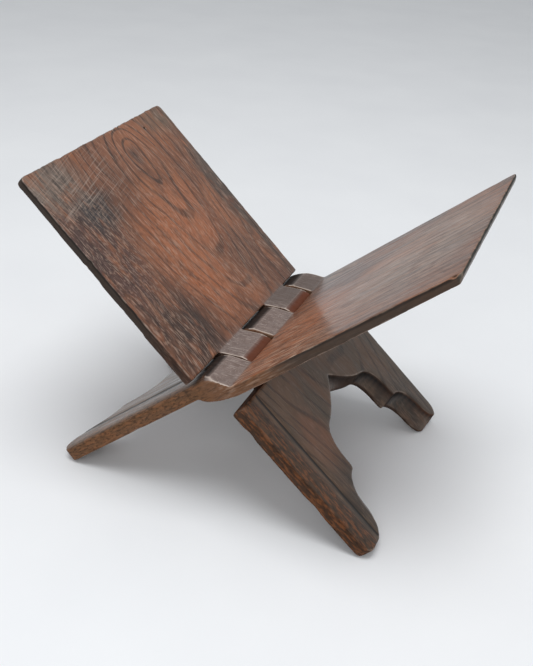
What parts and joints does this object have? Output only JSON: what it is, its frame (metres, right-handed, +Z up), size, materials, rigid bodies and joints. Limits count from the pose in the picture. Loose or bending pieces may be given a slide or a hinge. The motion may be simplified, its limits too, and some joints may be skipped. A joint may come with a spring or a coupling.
{
  "type": "folding book stand",
  "caption": "Folding wooden book stand of two boards crossed at an interlocking knuckle hinge, with arched legs and flat leaves that hold an open book.",
  "frame": {"origin": "on the floor, centred under the hinge axis", "axes": "+Z up, Y along the hinge axis, X from the left leaf to the right leaf, with the moulded front edge at -Y"},
  "size_m": [0.2398, 0.1599, 0.1832],
  "materials": {
    "left_wood": "aged dark hardwood, worn and waxed",
    "right_wood": "aged dark hardwood, worn and waxed"
  },
  "bodies": {
    "right_board": {"right_board": "right_wood"},
    "left_board": {"left_board": "left_wood"}
  },
  "joints": [
    {"name": "knuckle_hinge", "type": "hinge", "parent": "right_board", "child": "left_board", "pos_m": [0, 0, 0.08014], "axis": [0, 1, 0], "range_deg": [0, 98]}
  ]
}
